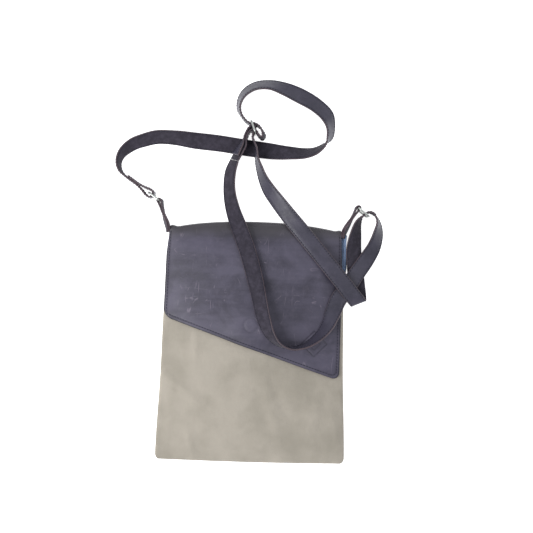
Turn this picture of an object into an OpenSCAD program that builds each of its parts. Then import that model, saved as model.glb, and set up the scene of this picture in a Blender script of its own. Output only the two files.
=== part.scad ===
// A flat canvas satchel with a leather flap, lying on its back.
// Origin: middle of the back face. +X is the bag's width, +Y runs to its top edge, +Z points up.

/* [Bag] */
// Width of the bag at its top corners
bag_top_w = 262; // [240:1:280]
// Width of the bag at its bottom seam
bag_bottom_w = 285; // [262:1:310]
// Height from the bottom seam to the top corners
bag_h = 348; // [320:1:380]
// Rise of the top edge between its corners
top_arch = 9; // [0:1:12]
// Fullness of the front panel at its middle
crown = 15; // [6:1:24]
// How far the pocket's mouth lies below the top corners
mouth_drop = 56; // [44:1:80]

/* [Flap] */
// Width of the flap
flap_w = 260; // [236:1:260]
// Length of the flap's short left side
flap_short = 131; // [110:1:150]
// Drop of the slanted edge from its left end to its right end
flap_slant = 91; // [60:1:110]
// Radius of the flap's two lower corners
flap_corner_r = 12; // [8:1:20]
// Widest angle that the flap opens to
flap_open = 115; // [60:5:120]

/* [Sheets] */
// Thickness of the back's canvas and leather
back_t = 2; // [1.2:0.2:2.4]
// Thickness of the front's canvas
canvas_t = 1.2; // [0.8:0.1:1.2]
// Thickness of the lining
lining_t = 0.6; // [0.4:0.1:0.6]
// Thickness of the flap's leather
leather_t = 2; // [1.2:0.2:2.4]

/* [Strap] */
// Width of the shoulder strap
strap_w = 25; // [20:0.5:25]
// Thickness of the shoulder strap
strap_t = 2.4; // [1.6:0.1:2.4]

/* [Hardware] */
// Wire of the rings and the slider
wire_d = 3; // [2:0.2:3]
// Diameter of the magnetic snap
snap_d = 18; // [14:1:18]

/* [Hidden] */
$fn = 48;

// Heights across the bag, and the lines that its edges follow
floor_z = back_t + lining_t;
bottom_y = -bag_h / 2;
corner_y = bag_h / 2;
mouth_y = corner_y - mouth_drop;
yoke_y = mouth_y + 20;
bottom_corner_r = 8;
fold_z = 5.5;
fold_in = 5;

// Layers above the pocket's inner surface
gap = 0.1;
washer_t = 0.7;
canvas_at = lining_t + washer_t + 2 * gap;
socket_t = 2.5;
socket_at = canvas_at + canvas_t + gap / 2;
backing_t = 1;
backing_at = canvas_at + canvas_t + 0.4;
leather_at = backing_at + backing_t + washer_t + 2 * gap;
flange_t = 0.8;
snap_lift = socket_t + flange_t + 2 * gap;
snap_flat_r = 12;
snap_spread = 24;
stud_d = 6;
stud_h = 2;
cup_wall = 0.8;
snap_at = [-3, 33];

// The flap's outline
flap_flare = 3;
flap_tuck = 1.5;
flap_edge_y = corner_y - flap_short;

// Rings and slider: the bars stand upright, and the strap passes between them
ring_gap_h = strap_w + 1.2;
rail_t = wire_d + 0.4;
ring_z = ring_gap_h / 2 + rail_t + 0.2;
left_tab_bar = [-144, 214];
left_strap_bar = [-159, 225];
right_tab_bar = [152, 211];
right_strap_bar = [167, 199];
slider_bars = [[-10.5, 335.5], [-7.4, 327], [-4.3, 318.5]];
tab_ply_t = 2.2;
tab_eye_r = wire_d / 2 + 0.5;
tab_foot = 12;

// Mesh steps of the curved sheets: across and along
across = [-1, -0.985, -0.96, -0.93, -0.9, -0.8, -0.65, -0.45, -0.25, -0.12, -0.02,
          0.08, 0.25, 0.45, 0.65, 0.8, 0.9, 0.93, 0.96, 0.985, 1];
along = [0, 0.03, 0.07, 0.13, 0.19, 0.25, 0.32, 0.4, 0.5, 0.6, 0.7, 0.8, 0.88, 0.94, 0.98, 1];

// The strap's route. Each point is x, y and z of its middle line, then the compass angle and the
// rise of the line across its width. The smooth face lies on the side of (width x travel).
strap_route = [
    // sewn tail beside the run, and the loop round the left ring's bar
    [-192, 249.6, 13.4, 0, 90], [-184, 244, 13.8, 0, 90], [-176, 238.6, 14.6, 0, 90],
    [-166, 233.5, 16, 0, 90], [-157.5, 230.3, 16.6, 0, 90], [-153.6, 226, 16.6, 0, 90],
    [-154.2, 221.2, 16.6, 0, 90], [-158.5, 219.2, 16.6, 0, 90], [-164, 221.6, 16.6, 0, 90],
    [-171, 229.6, 16, 0, 90],
    // up the left side, and over on its back along the long run
    [-179, 237, 14.5, 50, 89], [-195, 248, 13, 50, 89], [-205, 258, 13, -151, 86],
    [-208, 270, 13, 180, 81], [-205, 281, 13, 153, 73], [-198, 290, 12, 134, 62],
    [-186, 299, 11, 120, 53], [-171, 305, 10, 108, 48], [-152, 310, 10, 96, 43],
    [-125, 310, 9, 87, 37], [-95, 307, 5.5, 85, 17], [-57, 304, 2, 84, 0],
    [-20, 299, 2, 83, 0], [10, 295.5, 2.2, 84, -3], [32, 293, 5.5, 85, -20],
    [48, 292, 8, 87, -33], [71, 292, 10, 96, -47], [87, 296, 12, 114, -61],
    // half a twist, and round the arch
    [99, 305, 13, 137, -78], [107, 317, 12.4, -19, -68], [108, 332, 11.5, 8, -55],
    [103, 349, 8, 35, -30], [86, 365, 6.5, 54, -22], [61, 379, 5, 64, -15],
    [38, 388, 8, 72, -30], [16, 393, 10.4, 87, -46], [-5, 391, 11.2, 108, -52],
    [-20, 382, 12, 133, -58], [-28, 370, 12.6, 158, -68], [-30, 357, 13.4, -174, -78],
    [-26, 346, 15, -149, -88],
    // through the slider: past one end bar, round the sewn end, past the other end bar
    [-18.5, 336.2, 16.6, 0, -90], [-14.6, 333.6, 16.6, 0, -90], [-12, 332.6, 16.6, 0, -90],
    [-9.2, 332.6, 16.6, 0, -90], [-6, 332.4, 16.6, 0, -90], [-2.5, 331.1, 16.6, 0, -90],
    [2.3, 328.2, 16.6, -10, -86], [6, 323.5, 16.6, -25, -80], [8.3, 318, 16.4, -40, -76],
    [6.5, 311.8, 16.6, -80, -84], [1.8, 314.6, 16.6, 0, -90], [-1.3, 319, 16.6, 0, -90],
    [-2.5, 321, 16.6, 0, -90], [-4.8, 321.5, 16.6, 0, -90], [-6.8, 320.3, 16.6, 0, -90],
    [-7.3, 318, 16.6, 0, -90], [-8, 312, 16.8, 0, -90],
    [-5, 304.5, 17.2, 0, -90],
    // down the slanting run across the flap, to the fold beside the bag
    [-2, 297, 17.3, -177, -88], [-1, 282, 17, -171, -80], [3, 268, 15, -162, -69],
    [9, 252, 13.5, -153, -58], [18, 236, 13.5, -146, -42], [31, 219, 15.5, -142, -30],
    [48, 198, 19.5, -140, -18], [66, 177, 22.8, -139, -8], [89, 150, 24.6, -140, -3],
    [112, 123, 23, -140, 0], [133, 98, 22.5, -140, 0], [145, 83, 21.5, -144, 0],
    [152, 75, 20, -150, 0], [157, 69.5, 16, -157, 0], [157, 74, 12, -165, 0],
    [156, 83, 10.6, -171, 0],
    // up to the right ring on its back, and round the ring's bar
    [154, 97, 10, -174, 0], [151, 122, 10, -174, 5], [148, 149, 11, -179, 20],
    [150, 171, 12, 172, 42], [154, 191, 15, 161, 68], [160, 200, 16.6, 150, 88],
    [167.5, 205.5, 16.6, 0, 90], [175, 204, 16.6, 0, 90],
    // the outer loop, down over the flap and round on edge
    [183, 193, 14.4, -161, 75], [184, 177, 12, 173, 52], [179, 156, 10, 158, 32],
    [167, 134, 11, 149, 14], [154, 115, 14, 146, 4], [140, 93, 17.5, 147, 0],
    [126, 73, 20.5, 152, -12], [118, 53, 25, 156, -30], [108, 31, 29.6, 147, -52],
    [92, 14, 33.4, 129, -68], [75, 4, 35.8, 111, -80], [57, 1, 37.4, 88, -88],
    [40, 6, 38.2, -121, -76], [26, 20, 38.8, -147, -55], [16, 43, 38.6, -162, -36],
    // up the middle and off the top edge, to the sewn end
    [9, 71, 36, -166, -30], [0, 107, 30.4, -165, -15], [-11, 143, 28.2, -160, -8],
    [-23, 174, 25, -159, -12], [-35, 205, 16.5, -163, -30], [-41, 234, 11.2, -174, -44],
    [-40, 261, 11.4, 169, -48], [-34.4, 278.2, 13.8, 158, -57],
];

// The strap's last stretch, sewn back on itself round the slider's middle bar
sewn_end_route = [
    [-34.2, 278.7, 13.9, 157, -58], [-27, 292, 15.8, 152, -60], [-21, 302, 16.6, 150, -68],
    [-17.5, 311, 16.6, 0, -90], [-14.6, 318.6, 16.6, 0, -90], [-11, 322.4, 16.6, 0, -90],
    [-6.4, 324.2, 16.6, 0, -90], [-4.7, 325.7, 16.6, 0, -90], [-4.6, 328, 16.6, 0, -90],
    [-6.1, 329.7, 16.6, 0, -90], [-8.4, 329.8, 16.6, 0, -90],
    [-13.8, 326, 16.6, 0, -90], [-17.5, 319.8, 16.6, 0, -90], [-20.4, 312, 16.6, 0, -90],
    [-23.7, 303.4, 17.2, 150, -78], [-29.6, 293.6, 16.9, 152, -68], [-33.5, 286.4, 16, 155, -62],
];

// ---- shapes of the curved sheets ----

function mix(a, b, t) = a + (b - a) * t;

function half_w(y) = mix(bag_bottom_w, bag_top_w, (y - bottom_y) / bag_h) / 2;

function top_y(x) = corner_y + top_arch * (1 - pow(2 * x / bag_top_w, 2));

// Height of the pocket's inner surface: soft at the side seams and the bottom seam
function pocket_z(x, y) =
    let (side = max(0, 1 - abs(x) / half_w(y)), rise = min(1, (y - bottom_y) / (mouth_y - bottom_y)))
    floor_z + crown * (1 - pow(1 - side, 3)) * (1 - pow(1 - rise, 4));

// The mound over the snap: level at its middle, and falling away round it
function lift(x, y) =
    snap_lift * exp(-pow(max(0, norm([x, y] - snap_at) - snap_flat_r) / snap_spread, 2));

// The same surface under the flap: raised over the snap, and rolled down to the fold at the top
function cover_z(x, y) =
    let (reach = max(0, y - mouth_y) / (top_y(x) - fold_in + 1 - mouth_y))
    y < mouth_y
        ? pocket_z(x, y) + lift(x, y)
        : mix(pocket_z(x, mouth_y), fold_z, 1 - sqrt(1 - pow(min(reach, 0.99), 2)));

function unit(v) = v / norm(v);

function normal_at(z_of, x, y) =
    let (step = 0.5)
    unit([z_of(x - step, y) - z_of(x + step, y), z_of(x, y - step) - z_of(x, y + step), 2 * step]);

// A point of a sheet, a distance above its surface
function sheet_point(z_of, p, above) =
    [p.x, p.y, z_of(p.x, p.y)] + above * normal_at(z_of, p.x, p.y);

function sheet_grid(z_of, place, above) =
    [for (v = along) [for (u = across) sheet_point(z_of, place(u, v), above)]];

// Where a step across and along lies on the front panel
function front_place(u, v) =
    let (y = mix(bottom_y, mouth_y, v), round_in = max(0, 1 - (y - bottom_y) / bottom_corner_r))
    [u * (half_w(y) - bottom_corner_r * (1 - sqrt(1 - round_in * round_in))), y];

// ... and on the flap, from its slanted edge up to the fold, where it draws in between the tabs
function flap_place(u, v) =
    let (
        x = u * flap_w / 2,
        inset = max(0, 1 - (flap_w / 2 - abs(x)) / flap_corner_r),
        edge_y = flap_edge_y - flap_slant * (u + 1) / 2 + flap_corner_r * (1 - sqrt(1 - inset * inset)),
        y = mix(edge_y, top_y(x) - fold_in, v),
        tuck = flap_tuck * min(1, max(0, v - 0.7) / 0.2)
    )
    [x - u * tuck + min(0, u) * flap_flare * min(1, (corner_y - y) / flap_short), y];

// A closed solid between a lower and an upper grid of points, rows running along +Y
module between(lower, upper) {
    rows = len(lower);
    cols = len(lower[0]);
    top = rows * cols;
    function at(r, c) = r * cols + c;
    polyhedron(
        points = concat([for (row = lower) each row], [for (row = upper) each row]),
        faces = concat(
            [for (r = [0:rows - 2], c = [0:cols - 2]) each [
                [at(r, c), at(r, c + 1), at(r + 1, c + 1)],
                [at(r, c), at(r + 1, c + 1), at(r + 1, c)],
                [top + at(r, c), top + at(r + 1, c + 1), top + at(r, c + 1)],
                [top + at(r, c), top + at(r + 1, c), top + at(r + 1, c + 1)],
            ]],
            [for (c = [0:cols - 2]) each [
                [at(0, c), top + at(0, c), top + at(0, c + 1)],
                [at(0, c), top + at(0, c + 1), at(0, c + 1)],
                [at(rows - 1, c), top + at(rows - 1, c + 1), top + at(rows - 1, c)],
                [at(rows - 1, c), at(rows - 1, c + 1), top + at(rows - 1, c + 1)],
            ]],
            [for (r = [0:rows - 2]) each [
                [at(r, 0), top + at(r + 1, 0), top + at(r, 0)],
                [at(r, 0), at(r + 1, 0), top + at(r + 1, 0)],
                [at(r, cols - 1), top + at(r, cols - 1), top + at(r + 1, cols - 1)],
                [at(r, cols - 1), top + at(r + 1, cols - 1), at(r + 1, cols - 1)],
            ]]
        )
    );
}

module sheet(z_of, place, above, thick) {
    between(sheet_grid(z_of, place, above), sheet_grid(z_of, place, above + thick));
}

// ---- a flat strap swept along a route ----

function travel(route, i) =
    unit([for (k = [0:2]) route[min(i + 1, len(route) - 1)][k] - route[max(i - 1, 0)][k]]);

function across_of(p) = [cos(p[4]) * cos(p[3]), cos(p[4]) * sin(p[3]), sin(p[4])];

function strap_section(route, i) =
    let (
        p = route[i],
        middle = [p[0], p[1], p[2]],
        side = across_of(p) * strap_w / 2,
        face = unit(cross(across_of(p), travel(route, i))) * strap_t / 2
    )
    [middle - side - face, middle + side - face, middle + side + face, middle - side + face];

module strap_along(route) {
    n = len(route);
    last = 4 * (n - 1);
    polyhedron(
        points = [for (i = [0:n - 1]) each strap_section(route, i)],
        faces = concat(
            [[0, 2, 1], [0, 3, 2], [last, last + 1, last + 2], [last, last + 2, last + 3]],
            [for (i = [0:n - 2], k = [0:3]) let (a = 4 * i + k, b = 4 * i + (k + 1) % 4) each [
                [a, b, b + 4],
                [a, b + 4, a + 4],
            ]]
        )
    );
}

// ---- outlines ----

module bag_outline(low_y, high_y) {
    steps = 14;
    intersection() {
        polygon(concat(
            [for (a = [0:15:90]) let (r = bottom_corner_r)
                [-half_w(bottom_y) + r - r * cos(a), bottom_y + r - r * sin(a)]],
            [for (a = [90:-15:0]) let (r = bottom_corner_r)
                [half_w(bottom_y) - r + r * cos(a), bottom_y + r - r * sin(a)]],
            [for (i = [steps:-1:0]) let (x = mix(-1, 1, i / steps) * bag_top_w / 2) [x, top_y(x)]]
        ));
        translate([-bag_bottom_w, low_y]) square([2 * bag_bottom_w, high_y - low_y]);
    }
}

// ---- the bag ----

module back_panel() {
    color([0.70, 0.68, 0.64])
        linear_extrude(back_t)
            bag_outline(bottom_y, yoke_y);
}

module back_yoke() {
    color([0.37, 0.36, 0.41])
        linear_extrude(back_t)
            bag_outline(yoke_y, corner_y + top_arch);
}

module back_lining() {
    color([0.42, 0.55, 0.72])
        translate([0, 0, back_t])
            linear_extrude(lining_t)
                bag_outline(bottom_y, corner_y + top_arch);
}

module front_panel() {
    color([0.70, 0.68, 0.64])
        sheet(function(x, y) pocket_z(x, y), function(u, v) front_place(u, v), canvas_at, canvas_t);
}

module front_lining() {
    color([0.42, 0.55, 0.72])
        sheet(function(x, y) pocket_z(x, y), function(u, v) front_place(u, v), 0, lining_t);
}

// Each tab is folded round a ring's bar, with its two plies sewn together down to the corner
module tab(bar, base) {
    run = base - bar;
    translate([bar.x, bar.y, ring_z - strap_w / 2])
        linear_extrude(strap_w)
            difference() {
                union() {
                    circle(r = tab_eye_r + tab_ply_t);
                    rotate(atan2(run.y, run.x))
                        translate([0, -tab_ply_t])
                            square([norm(run), 2 * tab_ply_t]);
                }
                circle(r = tab_eye_r);
            }
    translate([base.x - tab_ply_t, base.y - tab_foot, floor_z])
        cube([2 * tab_ply_t, tab_foot, ring_z - strap_w / 2 - floor_z + 2]);
}

module left_tab() {
    color([0.36, 0.34, 0.38]) tab(left_tab_bar, [-bag_top_w / 2 - 1.9, corner_y - 2]);
}

module right_tab() {
    color([0.36, 0.34, 0.38]) tab(right_tab_bar, [bag_top_w / 2 + 1.9, corner_y - 2]);
}

// ---- hardware ----

// Round upright bars between a lower and an upper flat rail
module wire_frame(bars) {
    first = bars[0];
    end = bars[len(bars) - 1];
    run = end - first;
    for (bar = bars)
        translate([bar.x, bar.y, ring_z - ring_gap_h / 2 - rail_t / 2])
            cylinder(d = wire_d, h = ring_gap_h + rail_t);
    for (z = [ring_z - ring_gap_h / 2 - rail_t, ring_z + ring_gap_h / 2])
        translate([first.x, first.y, z])
            rotate(atan2(run.y, run.x))
                translate([-rail_t / 2, -rail_t / 2, 0])
                    cube([norm(run) + rail_t, rail_t, rail_t]);
}

module left_ring() {
    color([0.80, 0.81, 0.82]) wire_frame([left_tab_bar, left_strap_bar]);
}

module right_ring() {
    color([0.80, 0.81, 0.82]) wire_frame([right_tab_bar, right_strap_bar]);
}

module strap_slider() {
    color([0.80, 0.81, 0.82]) wire_frame(slider_bars);
}

module snap_disc(above, thick, outer_d, inner_d) {
    translate([snap_at.x, snap_at.y, pocket_z(snap_at.x, snap_at.y) + above])
        difference() {
            cylinder(d = outer_d, h = thick);
            translate([0, 0, -1]) cylinder(d = inner_d, h = thick + 2);
        }
}

module snap_socket() {
    color([0.78, 0.74, 0.62]) {
        snap_disc(socket_at, socket_t, snap_d, snap_d - 2 * cup_wall);
        snap_disc(socket_at + socket_t - cup_wall, cup_wall, snap_d, stud_d + 0.8);
    }
}

module snap_magnet() {
    color([0.30, 0.30, 0.32])
        snap_disc(socket_at, socket_t - cup_wall - gap / 2, snap_d - 2 * cup_wall - 0.4, stud_d + 1.2);
}

module snap_socket_washer() {
    color([0.78, 0.78, 0.78])
        snap_disc(lining_t + gap, washer_t, snap_d - 2, 5);
}

module snap_stud() {
    flange_at = socket_at + socket_t + 0.2;
    color([0.78, 0.74, 0.62])
        translate([snap_at.x, snap_at.y, pocket_z(snap_at.x, snap_at.y) + flange_at]) {
            cylinder(d = snap_d, h = flange_t);
            translate([0, 0, -stud_h]) cylinder(d = stud_d, h = stud_h);
        }
}

module snap_stud_washer() {
    color([0.78, 0.78, 0.78])
        snap_disc(backing_at + backing_t + 2 * gap + snap_lift, washer_t - 2 * gap, snap_d - 4, 5);
}

// ---- the flap ----

module flap_leather() {
    color([0.37, 0.36, 0.41])
        sheet(function(x, y) cover_z(x, y), function(u, v) flap_place(u, v), leather_at, leather_t);
}

module flap_backing() {
    color([0.32, 0.31, 0.35])
        sheet(function(x, y) cover_z(x, y), function(u, v) flap_place(u, v), backing_at, backing_t);
}

// ---- the strap ----

module shoulder_strap() {
    color([0.31, 0.30, 0.35]) strap_along(strap_route);
}

module strap_sewn_end() {
    color([0.31, 0.30, 0.35]) strap_along(sewn_end_route);
}

back_panel();
back_yoke();
back_lining();
front_panel();
front_lining();
snap_socket();
snap_magnet();
snap_socket_washer();
left_tab();
right_tab();
left_ring();
right_ring();
flap_leather();
flap_backing();
snap_stud();
snap_stud_washer();
shoulder_strap();
strap_sewn_end();
strap_slider();
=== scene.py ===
import math

import bpy
import numpy as np
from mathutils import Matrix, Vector, noise


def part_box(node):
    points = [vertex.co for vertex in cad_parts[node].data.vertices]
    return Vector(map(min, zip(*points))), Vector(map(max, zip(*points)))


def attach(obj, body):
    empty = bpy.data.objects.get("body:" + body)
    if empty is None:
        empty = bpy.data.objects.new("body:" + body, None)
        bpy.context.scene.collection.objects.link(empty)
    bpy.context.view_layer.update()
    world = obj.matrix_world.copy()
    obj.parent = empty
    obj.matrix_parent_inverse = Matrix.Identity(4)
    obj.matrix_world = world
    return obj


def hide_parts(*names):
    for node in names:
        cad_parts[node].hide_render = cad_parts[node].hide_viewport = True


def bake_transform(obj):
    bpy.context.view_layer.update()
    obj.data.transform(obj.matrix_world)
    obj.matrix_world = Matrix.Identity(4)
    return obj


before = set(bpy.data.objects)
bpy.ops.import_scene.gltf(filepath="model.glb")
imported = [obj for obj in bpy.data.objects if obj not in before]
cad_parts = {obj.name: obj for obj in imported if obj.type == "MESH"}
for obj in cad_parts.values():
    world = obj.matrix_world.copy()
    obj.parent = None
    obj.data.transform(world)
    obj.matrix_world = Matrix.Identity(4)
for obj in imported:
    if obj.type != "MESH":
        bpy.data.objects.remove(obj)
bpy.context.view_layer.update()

# All sizes below are millimetres in the part's own frame; MM turns them into metres.
MM = 0.001

# ---------------------------------------------------------------- sizes, from the frame

back_lo, back_hi = (np.array(c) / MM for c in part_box("back_panel"))
yoke_lo, yoke_hi = (np.array(c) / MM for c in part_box("back_yoke"))
ring_lo, ring_hi = (np.array(c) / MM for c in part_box("left_ring"))

BOTTOM_Y = back_lo[1]
CORNER_Y = -BOTTOM_Y
BAG_H = CORNER_Y - BOTTOM_Y
BOTTOM_HALF = back_hi[0]
TOP_HALF = 131.0
ARCH = yoke_hi[1] - CORNER_Y
YOKE_Y = yoke_lo[1]
MOUTH_Y = YOKE_Y - 20
UNDER_FLAP = 3.2
SEAM_R = 4.5
FLOOR_Z = 2.6
CROWN = 15.0
FOLD_Z = 5.5
FOLD_IN = 5.0
CANVAS_TOP = 2.7
BACKING_MID = 4.15
BACKING_T = 1.5
LEATHER_MID = 6.0
LEATHER_T = 2.0
SNAP = np.array([-3.0, 33.0])
SNAP_LIFT = 3.5
SNAP_FLAT_R = 12.0
SNAP_SPREAD = 24.0
FLAP_LEFT_X = -133.0
FLAP_TOP_LEFT_X = -130.0
FLAP_RIGHT_X = 130.0
FLAP_EDGE_Y = 43.0
FLAP_SLANT = 91.0
FLAP_CORNER_R = 12.0
FLAP_STITCH_IN = 4.4
FLAP_STITCH_TOP_Y = 171.0
FLAP_FOLD_Y = 172.0
FLAP_TUCK = 1.5
MARK = np.array([92.0, 7.0])
STRAP_W = 25.0
STRAP_T = 2.4
STITCH_OUT = 0.82
WIRE_R = 1.5
RING_Z = (ring_lo[2] + ring_hi[2]) / 2
WIRE_HALF_H = (ring_hi[2] - ring_lo[2]) / 2 - 1.7
LEFT_RING = ((-144, 214), (-159, 225))
RIGHT_RING = ((152, 211), (167, 199))
SLIDER = ((-10.5, 335.5), (-7.4, 327), (-4.3, 318.5))

# The strap's route, as in the CAD source: x, y, z of its middle line, then the compass angle and
# the rise of the line across its width.
STRAP_ROUTE = [
    # sewn tail beside the run, and the loop round the left ring's bar
    (-192, 249.6, 13.4, 0, 90), (-184, 244, 13.8, 0, 90), (-176, 238.6, 14.6, 0, 90),
    (-166, 233.5, 16, 0, 90), (-157.5, 230.3, 16.6, 0, 90), (-153.6, 226, 16.6, 0, 90),
    (-154.2, 221.2, 16.6, 0, 90), (-158.5, 219.2, 16.6, 0, 90), (-164, 221.6, 16.6, 0, 90),
    (-171, 229.6, 16, 0, 90),
    # up the left side, and over on its back along the long run
    (-179, 237, 14.5, 50, 89), (-195, 248, 13, 50, 89), (-205, 258, 13, -151, 86),
    (-208, 270, 13, 180, 81), (-205, 281, 13, 153, 73), (-198, 290, 12, 134, 62),
    (-186, 299, 11, 120, 53), (-171, 305, 10, 108, 48), (-152, 310, 10, 96, 43),
    (-125, 310, 9, 87, 37), (-95, 307, 5.5, 85, 17), (-57, 304, 2, 84, 0),
    (-20, 299, 2, 83, 0), (10, 295.5, 2.2, 84, -3), (32, 293, 5.5, 85, -20),
    (48, 292, 8, 87, -33), (71, 292, 10, 96, -47), (87, 296, 12, 114, -61),
    # half a twist, and round the arch
    (99, 305, 13, 137, -78), (107, 317, 12.4, -19, -68), (108, 332, 11.5, 8, -55),
    (103, 349, 8, 35, -30), (86, 365, 6.5, 54, -22), (61, 379, 5, 64, -15),
    (38, 388, 8, 72, -30), (16, 393, 10.4, 87, -46), (-5, 391, 11.2, 108, -52),
    (-20, 382, 12, 133, -58), (-28, 370, 12.6, 158, -68), (-30, 357, 13.4, -174, -78),
    (-26, 346, 15, -149, -88),
    # through the slider: past one end bar, round the sewn end, past the other end bar
    (-18.5, 336.2, 16.6, 0, -90), (-14.6, 333.6, 16.6, 0, -90), (-12, 332.6, 16.6, 0, -90),
    (-9.2, 332.6, 16.6, 0, -90), (-6, 332.4, 16.6, 0, -90), (-2.5, 331.1, 16.6, 0, -90),
    (2.3, 328.2, 16.6, -10, -86), (6, 323.5, 16.6, -25, -80), (8.3, 318, 16.4, -40, -76),
    (6.5, 311.8, 16.6, -80, -84), (1.8, 314.6, 16.6, 0, -90), (-1.3, 319, 16.6, 0, -90),
    (-2.5, 321, 16.6, 0, -90), (-4.8, 321.5, 16.6, 0, -90), (-6.8, 320.3, 16.6, 0, -90),
    (-7.3, 318, 16.6, 0, -90), (-8, 312, 16.8, 0, -90),
    (-5, 304.5, 17.2, 0, -90),
    # down the slanting run across the flap, to the fold beside the bag
    (-2, 297, 17.3, -177, -88), (-1, 282, 17, -171, -80), (3, 268, 15, -162, -69),
    (9, 252, 13.5, -153, -58), (18, 236, 13.5, -146, -42), (31, 219, 15.5, -142, -30),
    (48, 198, 19.5, -140, -18), (66, 177, 22.8, -139, -8), (89, 150, 24.6, -140, -3),
    (112, 123, 23, -140, 0), (133, 98, 22.5, -140, 0), (145, 83, 21.5, -144, 0),
    (152, 75, 20, -150, 0), (157, 69.5, 16, -157, 0), (157, 74, 12, -165, 0),
    (156, 83, 10.6, -171, 0),
    # up to the right ring on its back, and round the ring's bar
    (154, 97, 10, -174, 0), (151, 122, 10, -174, 5), (148, 149, 11, -179, 20),
    (150, 171, 12, 172, 42), (154, 191, 15, 161, 68), (160, 200, 16.6, 150, 88),
    (167.5, 205.5, 16.6, 0, 90), (175, 204, 16.6, 0, 90),
    # the outer loop, down over the flap and round on edge
    (183, 193, 14.4, -161, 75), (184, 177, 12, 173, 52), (179, 156, 10, 158, 32),
    (167, 134, 11, 149, 14), (154, 115, 14, 146, 4), (140, 93, 17.5, 147, 0),
    (126, 73, 20.5, 152, -12), (118, 53, 25, 156, -30), (108, 31, 29.6, 147, -52),
    (92, 14, 33.4, 129, -68), (75, 4, 35.8, 111, -80), (57, 1, 37.4, 88, -88),
    (40, 6, 38.2, -121, -76), (26, 20, 38.8, -147, -55), (16, 43, 38.6, -162, -36),
    # up the middle and off the top edge, to the sewn end
    (9, 71, 36, -166, -30), (0, 107, 30.4, -165, -15), (-11, 143, 28.2, -160, -8),
    (-23, 174, 25, -159, -12), (-35, 205, 16.5, -163, -30), (-41, 234, 11.2, -174, -44),
    (-40, 261, 11.4, 169, -48), (-34.4, 278.2, 13.8, 158, -57),
]
SEWN_END_ROUTE = [
    (-34.2, 278.7, 13.9, 157, -58), (-27, 292, 15.8, 152, -60), (-21, 302, 16.6, 150, -68),
    (-17.5, 311, 16.6, 0, -90), (-14.6, 318.6, 16.6, 0, -90), (-11, 322.4, 16.6, 0, -90),
    (-6.4, 324.2, 16.6, 0, -90), (-4.7, 325.7, 16.6, 0, -90), (-4.6, 328, 16.6, 0, -90),
    (-6.1, 329.7, 16.6, 0, -90), (-8.4, 329.8, 16.6, 0, -90),
    (-13.8, 326, 16.6, 0, -90), (-17.5, 319.8, 16.6, 0, -90), (-20.4, 312, 16.6, 0, -90),
    (-23.7, 303.4, 17.2, 150, -78), (-29.6, 293.6, 16.9, 152, -68), (-33.5, 286.4, 16, 155, -62),
]

# ---------------------------------------------------------------- camera


def make_camera():
    """Looks straight down, turned a little about its own axis."""
    height, view_w, roll = 1400.0, 806.0, math.radians(1.6)
    over_x, over_y = 17.9, 120.5
    data = bpy.data.cameras.new("camera")
    data.sensor_width = 36.0
    data.lens = data.sensor_width * height / view_w
    camera = bpy.data.objects.new("camera", data)
    camera.location = Vector((over_x, over_y, height)) * MM
    camera.rotation_euler = (0, 0, roll)
    bpy.context.scene.collection.objects.link(camera)
    bpy.context.scene.camera = camera


# ---------------------------------------------------------------- materials


class Nodes:
    """Builds a node material with short calls."""

    def __init__(self, name):
        self.material = bpy.data.materials.new(name)
        self.material.use_nodes = True
        self.tree = self.material.node_tree
        self.shader = self.tree.nodes["Principled BSDF"]
        self.place = self.add("ShaderNodeTexCoord").outputs["Object"]

    def add(self, kind, **inputs):
        node = self.tree.nodes.new(kind)
        for key, value in inputs.items():
            self.put(node, key.replace("_", " "), value)
        return node

    def put(self, node, key, value):
        socket = node.inputs[key]
        if isinstance(value, bpy.types.NodeSocket):
            self.tree.links.new(value, socket)
        else:
            socket.default_value = value

    def set(self, **inputs):
        for key, value in inputs.items():
            self.put(self.shader, key.replace("_", " "), value)

    def noise(self, per_mm, detail=3.0, rough=0.5, stretch=(1, 1, 1), distortion=0.0):
        at = self.add("ShaderNodeMapping", Vector=self.place, Scale=stretch).outputs[0]
        node = self.add("ShaderNodeTexNoise", Vector=at, Scale=per_mm / MM, Detail=detail)
        node.inputs["Roughness"].default_value = rough
        node.inputs["Distortion"].default_value = distortion
        return node.outputs["Fac"]

    def cells(self, per_mm):
        node = self.add("ShaderNodeTexVoronoi", Vector=self.place, Scale=per_mm / MM)
        return node.outputs["Distance"]

    def threads(self, per_mm, direction):
        """Bands for the threads of a weave, that many a millimetre, across one direction."""
        node = self.add("ShaderNodeTexWave", Vector=self.place)
        node.bands_direction = direction
        node.inputs["Scale"].default_value = per_mm / MM * 2 * math.pi / 20
        node.inputs["Distortion"].default_value = 0.4
        node.inputs["Detail"].default_value = 1.0
        node.inputs["Detail Scale"].default_value = 0.4
        return node.outputs["Fac"]

    def span(self, value, low, high, to_low=0.0, to_high=1.0):
        node = self.add("ShaderNodeMapRange", Value=value)
        node.interpolation_type = "SMOOTHSTEP"
        ends = (("From Min", low), ("From Max", high), ("To Min", to_low), ("To Max", to_high))
        for key, number in ends:
            node.inputs[key].default_value = number
        return node.outputs[0]

    def math(self, operation, a, b=0.5):
        node = self.add("ShaderNodeMath")
        node.operation = operation
        self.put(node, 0, a)
        self.put(node, 1, b)
        return node.outputs[0]

    def mix(self, share, a, b):
        node = self.add("ShaderNodeMix")
        node.data_type = "RGBA"
        self.put(node, 0, share)
        self.put(node, 6, a)
        self.put(node, 7, b)
        return node.outputs[2]

    def attribute(self, name):
        node = self.add("ShaderNodeAttribute")
        node.attribute_name = name
        return node.outputs["Fac"]

    def bump(self, height, distance, after=None, strength=1.0):
        node = self.add("ShaderNodeBump", Height=height, Distance=distance * MM, Strength=strength)
        if after is not None:
            self.put(node, "Normal", after)
        return node.outputs[0]


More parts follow.
